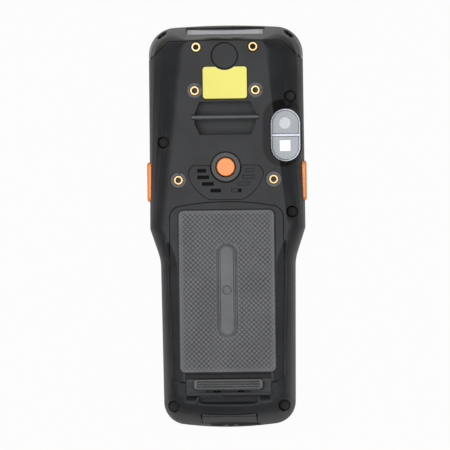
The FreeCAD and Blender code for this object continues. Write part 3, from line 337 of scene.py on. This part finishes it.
# Which finish each piece of the frame takes; keys that aren't named here are keyPlastic
nodeFinish = {
    "rear_case": "rearPlasticPaintedShadeAndLight", "front_case": "casePlastic", "nose_cap": "capPlastic",
    "scan_window": "scanGlass", "nose_screws": "screwSteel", "threaded_inserts": "brass",
    "case_screws": "screwSteel", "round_plug": "casePlastic", "label_plate": "labelYellow",
    "strap_bar": "barMetal", "camera_bezel": "bezelMetal", "camera_window": "lensGlass",
    "flash_window": "flashGlass", "camera_module": "darkParts", "flash_led": "legendWhite",
    "speaker_panel": "casePlastic", "speaker_driver": "darkParts", "button_ring": "fittingPlastic",
    "rear_button": "orangePlastic", "side_key_left": "orangePlastic", "side_key_right": "orangePlastic",
    "key_switches": "darkParts", "battery_cover": "backPlasticPaintedShade", "grip_pad": "padPlastic",
    "battery_pack": "darkParts", "battery_contacts": "brass", "latch_slider": "latchPlastic",
    "latch_springs": "darkParts", "port_cover": "rubber", "dock_connector": "darkParts",
    "touch_glass": "screenGlass", "status_light": "legendWhite", "display_module": "darkParts",
    "keypad_mat": "rubber", "case_gasket": "rubber", "main_board": "boardGreen",
    "scan_engine": "partMetal", "key_scan": "orangePlastic",
}


def dressNodes():
    for name, piece in nodes.items():
        made = finishes[nodeFinish.get(name, "keyPlastic")]
        if not piece.material_slots:
            piece.data.materials.append(made)
        for slot in piece.material_slots:
            slot.material = made


dressNodes()
print("finishes on", len(nodes), "nodes")


# Meshes

def roundedLoop(halfWidth, halfLength, radius, middle, z, steps=8):
    corners = ((1, 1, 0), (-1, 1, 90), (-1, -1, 180), (1, -1, 270))
    loop = []
    for across, along, start in corners:
        for step in range(steps + 1):
            angle = math.radians(start + 90 * step / steps)
            loop.append(Vector((middle[0] + across * (halfWidth - radius) + radius * math.cos(angle),
                                middle[1] + along * (halfLength - radius) + radius * math.sin(angle),
                                z)) * mm)
    return loop


def circleLoop(radius, middle, z, steps=32):
    return [Vector((middle[0] + radius * math.cos(math.tau * i / steps),
                    middle[1] + radius * math.sin(math.tau * i / steps), z)) * mm for i in range(steps)]


def ringsOf(mesh, loops):
    return [[mesh.verts.new(point) for point in loop] for loop in loops]


def skin(mesh, rings):
    for low, high in zip(rings, rings[1:]):
        for i in range(len(low)):
            j = (i + 1) % len(low)
            mesh.faces.new((low[i], low[j], high[j], high[i]))


def between(mesh, outer, inner):
    # A flat face from one closed ring to another inside it
    edges = []
    for ring in (outer, inner):
        for i, point in enumerate(ring):
            other = ring[(i + 1) % len(ring)]
            edges.append(mesh.edges.get((point, other)) or mesh.edges.new((point, other)))
    bmesh.ops.triangle_fill(mesh, edges=edges, use_beauty=True)


def pieceFrom(mesh, name, made):
    bmesh.ops.recalc_face_normals(mesh, faces=mesh.faces)
    data = bpy.data.meshes.new(name)
    mesh.to_mesh(data)
    mesh.free()
    data.materials.append(made)
    piece = bpy.data.objects.new(name, data)
    bpy.context.scene.collection.objects.link(piece)
    return piece


def joined(name, pieces):
    # One mesh from several, with the materials of each.
    mesh = bmesh.new()
    data = bpy.data.meshes.new(name)
    for index, piece in enumerate(pieces):
        before = len(mesh.faces)
        mesh.from_mesh(piece.data)
        mesh.faces.ensure_lookup_table()
        for face in mesh.faces[before:]:
            face.material_index = index
        data.materials.append([made for made in piece.data.materials if made][0])
        bpy.data.objects.remove(piece)
    mesh.to_mesh(data)
    mesh.free()
    whole = bpy.data.objects.new(name, data)
    bpy.context.scene.collection.objects.link(whole)
    return whole


def grown(name, tree, values):
    # Runs a node tree with its inputs set and keeps the mesh that it makes.
    holder = bpy.data.objects.new(name, bpy.data.meshes.new(name))
    bpy.context.scene.collection.objects.link(holder)
    modifier = holder.modifiers.new("growth", "NODES")
    modifier.node_group = tree
    for item in tree.interface.items_tree:
        if item.item_type == "SOCKET" and item.in_out == "INPUT" and item.name in values:
            modifier[item.identifier] = values[item.name]
    holder.update_tag()
    bpy.context.view_layer.update()
    result = holder.evaluated_get(bpy.context.evaluated_depsgraph_get())
    holder.data = bpy.data.meshes.new_from_object(result)
    holder.modifiers.clear()
    return holder


# Moulded pieces as they leave the tool: smooth over their curves, with eased edges

mouldings = {  # width of the eased edge in mm, and the record's slot
    "rear_case": (0, "case_plastic"), "front_case": (0, "case_plastic"), "nose_cap": (0, "cap_plastic"),
    "battery_cover": (0.3, "cover_plastic"), "speaker_panel": (0.3, "case_plastic"),
    "button_ring": (0.4, "case_plastic"), "rear_button": (0.35, "orange_plastic"),
    "latch_slider": (0.2, "cover_plastic"), "round_plug": (0.3, "case_plastic"),
    "camera_bezel": (0.25, "bezel_metal"), "port_cover": (0.25, "flap_rubber"),
    "side_key_left": (0.2, "orange_plastic"), "side_key_right": (0.2, "orange_plastic"),
    "threaded_inserts": (0.2, "brass"),
}
smoothAngle = math.radians(34)  # edges sharper than this stay sharp and are eased
flatAngle = math.radians(0.5)  # facets this close to flat become one face
weldReach = 0.002  # mm


def makeMouldings():
    for name, (ease, slot) in mouldings.items():
        source = nodes[name]
        mesh = bmesh.new()
        mesh.from_mesh(source.data)
        bmesh.ops.remove_doubles(mesh, verts=mesh.verts, dist=weldReach * mm)
        bmesh.ops.dissolve_limit(mesh, angle_limit=flatAngle, verts=mesh.verts, edges=mesh.edges)
        data = bpy.data.meshes.new(name)
        mesh.to_mesh(data)
        mesh.free()
        data.materials.append(source.material_slots[0].material)
        data.shade_smooth()
        data.set_sharp_from_angle(angle=smoothAngle)
        piece = bpy.data.objects.new("moulded_" + name, data)
        bpy.context.scene.collection.objects.link(piece)
        if ease:
            bevel = piece.modifiers.new("easedEdges", "BEVEL")
            bevel.width = ease * mm
            bevel.segments = 2
            bevel.limit_method = "ANGLE"
            bevel.angle_limit = smoothAngle
        weighted = piece.modifiers.new("flatFacesFlat", "WEIGHTED_NORMAL")
        weighted.keep_sharp = True
        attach(piece, source["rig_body"])
        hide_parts(name)


makeMouldings()
print("mouldings smoothed")


# Grip pad: knurled top with a plain strip down its middle

gripPad = {  # mm; a profile lists how far out a ring lies and at what height
    "lowZ": 27.0, "bevelZ": 28.4, "topZ": 28.6, "crestZ": 28.95,
    "bevel": 0.35, "shoulder": 0.3, "corner": 2.6, "knurlMargin": 0.1,
    "diamond": 1.0, "diamondTop": 0.84, "diamondFoot": 0.95, "diamondClear": 0.8,
    "stripHalf": 2.8, "stripTop": -8.5, "stripEnd": -44.5, "stripGap": 1.2, "stripRound": 0.99,
    "stripProfile": ((0.15, 28.5), (0, 28.83), (-0.2, 28.95)),
    "borderProfile": ((1.5, 28.5), (1.35, 28.85), (1.1, 28.95), (0.9, 28.92), (0.4, 28.5)),
    "dimpleY": -26.4, "dimpleProfile": ((1.9, 28.95), (1.634, 28.71), (1.14, 28.65)),
}


def knurlTree():
    tree = bpy.data.node_groups.new("diamondKnurl", "GeometryNodeTree")
    for name in ("Half Diamond", "Flat Share", "Foot Share", "Clear Share", "Height", "Low Z", "Half Width",
                 "Half Length", "Middle Y", "Corner", "Strip Half Width", "Strip Half Length", "Strip Y"):
        tree.interface.new_socket(name, in_out="INPUT", socket_type="NodeSocketFloat")
    tree.interface.new_socket("Geometry", in_out="OUTPUT", socket_type="NodeSocketGeometry")
    recipe = Recipe(tree)
    asked = tree.nodes.new("NodeGroupInput")
    value = {socket.name: Value(recipe, socket) for socket in asked.outputs if socket.name}
    half = value["Half Diamond"]
    fields = []
    for offset in (0, 1):
        columns = recipe.maths("FLOOR", value["Half Width"] / half)
        rows = recipe.maths("FLOOR", value["Half Length"] / half)
        grid = recipe.add("GeometryNodeMeshGrid", inputs={
            "Size X": (columns - 1) * half * 2, "Size Y": (rows - 1) * half * 2,
            "Vertices X": columns, "Vertices Y": rows})
        shift = recipe.add("ShaderNodeCombineXYZ", inputs={
            "X": half * offset, "Y": value["Middle Y"] + half * offset, "Z": value["Low Z"]})
        fields.append(recipe.add("GeometryNodeTransform", inputs={"Geometry": grid, "Translation": shift}))
    lattice = tree.nodes.new("GeometryNodeJoinGeometry")
    for field in fields:
        tree.links.new(field.socket, lattice.inputs[0])
    x, y = recipe.apart(recipe.add("GeometryNodeInputPosition"))[:2]
    outX = recipe.maths("MAXIMUM", abs(x) - (value["Half Width"] - value["Corner"]), 0)
    outY = recipe.maths("MAXIMUM", abs(y - value["Middle Y"]) - (value["Half Length"] - value["Corner"]), 0)
    outside = (outX * outX + outY * outY) ** 0.5 > value["Corner"] - half
    straight = value["Strip Half Length"] - value["Strip Half Width"]
    pastEnd = recipe.maths("MAXIMUM", abs(y - value["Strip Y"]) - straight, 0)
    onStrip = (x * x + pastEnd * pastEnd) ** 0.5 < value["Strip Half Width"] + half * value["Clear Share"]
    cut = recipe.add("GeometryNodeDeleteGeometry", {"domain": "POINT"}, {
        "Geometry": Value(recipe, lattice.outputs[0]),
        "Selection": recipe.maths("MAXIMUM", outside, onStrip)})
    cone = recipe.add("GeometryNodeMeshCone", {"fill_type": "NONE"}, {
        "Vertices": 4, "Radius Top": half * value["Flat Share"],
        "Radius Bottom": half * value["Foot Share"], "Depth": value["Height"]})
    tops = recipe.add("GeometryNodeMeshCircle", {"fill_type": "NGON"}, {
        "Vertices": 4, "Radius": half * value["Flat Share"]})
    lid = recipe.add("GeometryNodeTransform", inputs={"Geometry": tops, "Translation": recipe.add(
        "ShaderNodeCombineXYZ", inputs={"Z": value["Height"]})})
    diamond = tree.nodes.new("GeometryNodeJoinGeometry")
    for part in (cone, lid):
        tree.links.new(part.socket, diamond.inputs[0])
    spread = recipe.add("GeometryNodeInstanceOnPoints", inputs={
        "Points": cut, "Instance": Value(recipe, diamond.outputs[0])})
    real = recipe.add("GeometryNodeRealizeInstances", inputs={"Geometry": spread})
    dressed = recipe.add("GeometryNodeSetMaterial", inputs={
        "Geometry": real, "Material": finishes["padPlastic"]})
    recipe.add("NodeGroupOutput", inputs={"Geometry": dressed})
    return tree


def makeGripPad():
    pad = gripPad
    low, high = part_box("grip_pad")
    halfWidth = (high.x - low.x) / 2 / mm
    halfLength = (high.y - low.y) / 2 / mm
    middleY = (high.y + low.y) / 2 / mm
    topHalf, topLength = halfWidth - pad["bevel"], halfLength - pad["bevel"]
    corner = pad["corner"] - pad["bevel"]
    mesh = bmesh.new()
    sides = ringsOf(mesh, [
        roundedLoop(halfWidth, halfLength, pad["corner"], (0, middleY), pad["lowZ"]),
        roundedLoop(topHalf, topLength, corner, (0, middleY), pad["bevelZ"]),
        roundedLoop(topHalf - pad["shoulder"], topLength - pad["shoulder"], corner - pad["shoulder"],
                    (0, middleY), pad["topZ"]),
    ])
    skin(mesh, sides)
    mesh.faces.new(sides[0])
    mesh.faces.new(sides[-1])
    block = pieceFrom(mesh, "padBlock", finishes["padPlastic"])

    stripY = (pad["stripTop"] + pad["stripEnd"]) / 2
    stripLength = (pad["stripTop"] - pad["stripEnd"]) / 2
    mesh = bmesh.new()
    rim = ringsOf(mesh, [
        roundedLoop(pad["stripHalf"] + out, stripLength, (pad["stripHalf"] + out) * pad["stripRound"],
                    (0, stripY), z) for out, z in pad["stripProfile"]])
    skin(mesh, rim)
    mesh.faces.new(rim[0])
    bowl = ringsOf(mesh, [circleLoop(radius, (0, pad["dimpleY"]), z) for radius, z in pad["dimpleProfile"]])
    skin(mesh, bowl)
    mesh.faces.new(bowl[-1])
    between(mesh, rim[-1], bowl[0])
    border = ringsOf(mesh, [
        roundedLoop(pad["stripHalf"] + out, stripLength + out, (pad["stripHalf"] + out) * pad["stripRound"],
                    (0, stripY), z) for out, z in pad["borderProfile"]])
    skin(mesh, border + border[:1])
    strip = pieceFrom(mesh, "padStrip", finishes["stripPlastic"])

    knurl = grown("padKnurl", knurlTree(), {
        "Half Diamond": pad["diamond"] * mm, "Flat Share": pad["diamondTop"],
        "Foot Share": pad["diamondFoot"], "Clear Share": pad["diamondClear"],
        "Height": (pad["crestZ"] - pad["topZ"]) * mm, "Low Z": pad["topZ"] * mm,
        "Half Width": (topHalf - pad["knurlMargin"]) * mm,
        "Half Length": (topLength - pad["knurlMargin"]) * mm, "Middle Y": middleY * mm,
        "Corner": corner * mm, "Strip Half Width": (pad["stripHalf"] + pad["stripGap"]) * mm,
        "Strip Half Length": (stripLength + pad["stripGap"]) * mm, "Strip Y": stripY * mm,
    })
    print("knurl faces:", len(knurl.data.polygons))
    whole = joined("gripPad", [block, strip, knurl])
    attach(whole, "battery_cover")
    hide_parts("grip_pad")


makeGripPad()
print("grip pad made")


# Thin trim round the latch and behind the speaker slots, and a patch of painted shade on a speaker slot

trim = {  # low and high corner and eased edge in mm, body, finish, slot
    "latchBase": ((-13.4, -68.2, 25.36), (13.4, -67.4, 25.9), 0.15,
                  "latch", "fittingPlastic", "cover_plastic"),
    "wellLid": ((-17.6, -70.45, 25.11), (17.6, -69.1, 25.3), 0.05,
                "housing", "casePlastic", "case_plastic"),
    "speakerGauze": ((-13.4, 14.0, 25.52), (-1.5, 24.6, 25.56), 0.01,
                     "housing", "darkParts", "driver_metal"),
    # A dark patch of painted shade, standing in for the dark half of the last right-hand speaker slot, which
    # is blind.
    "slotShadePatch": ((5.0, 14.35, 26.26), (6.35, 15.65, 26.3), 0.01,
                  "housing", "darkParts", "driver_metal"),
}


def makeTrim():
    for name, (low, high, ease, body, made, slot) in trim.items():
        mesh = bmesh.new()
        bmesh.ops.create_cube(mesh, size=1)
        for point in mesh.verts:
            point.co = Vector((high[i] if point.co[i] > 0 else low[i]) * mm for i in range(3))
        bmesh.ops.bevel(mesh, geom=mesh.edges, offset=ease * mm, segments=2, affect="EDGES", profile=0.5)
        piece = pieceFrom(mesh, name, finishes[made])
        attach(piece, body)


makeTrim()
print("trim made")


# Key legends, read from the screen side

legends = {
    "size": 4.6, "thick": 0.03, "arrowRadius": 1.3,
    "marks": {
        "key_1": "1", "key_2": "2", "key_3": "3", "key_4": "4", "key_5": "5", "key_6": "6",
        "key_7": "7", "key_8": "8", "key_9": "9", "key_0": "0", "key_star": "*", "key_hash": "#",
    },
    "arrows": {"key_up": 0, "key_down": 180, "key_left": 90, "key_right": 270},
}


def legendOn(key, mesh):
    # Lays a flat mesh, drawn in mm round the origin, on a key's face and lets it ride there.
    low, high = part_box(key)
    middle = (low + high) / 2
    bmesh.ops.transform(mesh, matrix=Matrix.Diagonal((-mm, mm, mm, 1)), verts=mesh.verts)
    bmesh.ops.translate(mesh, vec=(middle.x, middle.y, low.z - legends["thick"] * mm / 2), verts=mesh.verts)
    piece = pieceFrom(mesh, "legend" + key[3:], finishes["legendWhite"])
    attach(piece, key)


def makeLegends():
    for key, mark in legends["marks"].items():
        curve = bpy.data.curves.new("mark", "FONT")
        curve.body = mark
        curve.size = legends["size"]
        curve.align_x = "CENTER"
        curve.align_y = "CENTER"
        curve.extrude = legends["thick"] / 2
        curve.resolution_u = 3
        holder = bpy.data.objects.new("mark", curve)
        bpy.context.scene.collection.objects.link(holder)
        bpy.context.view_layer.update()
        shown = holder.evaluated_get(bpy.context.evaluated_depsgraph_get())
        drawn = bpy.data.meshes.new_from_object(shown)
        bpy.data.objects.remove(holder)
        mesh = bmesh.new()
        mesh.from_mesh(drawn)
        bmesh.ops.remove_doubles(mesh, verts=mesh.verts, dist=0.001)
        legendOn(key, mesh)
    for key, turn in legends["arrows"].items():
        mesh = bmesh.new()
        half = legends["thick"] / 2
        points = [Vector((math.sin(math.radians(turn + a)), math.cos(math.radians(turn + a)), 0))
                  * legends["arrowRadius"] for a in (0, 120, 240)]
        rings = [[mesh.verts.new(point + Vector((0, 0, z))) for point in points] for z in (-half, half)]
        skin(mesh, rings)
        for ring in rings:
            mesh.faces.new(ring)
        legendOn(key, mesh)


makeLegends()
print("legends made")


# Studio: pale floor, white to the camera, and soft plain light
studio = {
    "floorHalf": 1500, "floorTone": tone(120, 120, 120), "whiteShare": 0.97,
    "worldLevel": 0.16,
    "lamps": (  # place in mm, side in mm, watts
        ((-60, 30, 950), 680, 8.2),
        ((520, -300, 560), 300, 0.4),
    ),
}


def makeStudio():
    scene = bpy.context.scene
    scene.view_settings.view_transform = "Standard"
    world = bpy.data.worlds.new("studioWorld")
    scene.world = world
    world.use_nodes = True
    world.node_tree.nodes["Background"].inputs["Color"].default_value = (1, 1, 1, 1)
    world.node_tree.nodes["Background"].inputs["Strength"].default_value = studio["worldLevel"]
    for place, side, watts in studio["lamps"]:
        data = bpy.data.lights.new("softLamp", "AREA")
        data.size = side * mm
        data.energy = watts
        lamp = bpy.data.objects.new("softLamp", data)
        scene.collection.objects.link(lamp)
        lamp.location = Vector(place) * mm
        lamp.rotation_euler = Vector(place).to_track_quat("Z", "Y").to_euler()
    mesh = bmesh.new()
    half = studio["floorHalf"] * mm
    mesh.faces.new([mesh.verts.new((x * half, y * half, 0)) for x, y in ((-1, -1), (1, -1), (1, 1), (-1, 1))])
    made = bpy.data.materials.new("paleFloor")
    made.use_nodes = True
    made.node_tree.nodes.clear()
    recipe = Recipe(made.node_tree)
    rays = recipe.add("ShaderNodeLightPath").socket.node.outputs
    seen = Value(recipe, rays["Is Camera Ray"])
    for kind in ("Is Glossy Ray", "Is Transmission Ray"):
        seen = recipe.maths("MAXIMUM", seen, Value(recipe, rays[kind]))
    matt = recipe.add("ShaderNodeBsdfDiffuse", inputs={"Color": studio["floorTone"]})
    white = recipe.add("ShaderNodeEmission", inputs={"Color": (1, 1, 1, 1), "Strength": 1})
    mixed = recipe.add("ShaderNodeMixShader", inputs={0: seen * studio["whiteShare"], 1: matt, 2: white})
    recipe.add("ShaderNodeOutputMaterial", inputs={"Surface": mixed})
    pieceFrom(mesh, "floor", made)


makeStudio()
print("studio set")
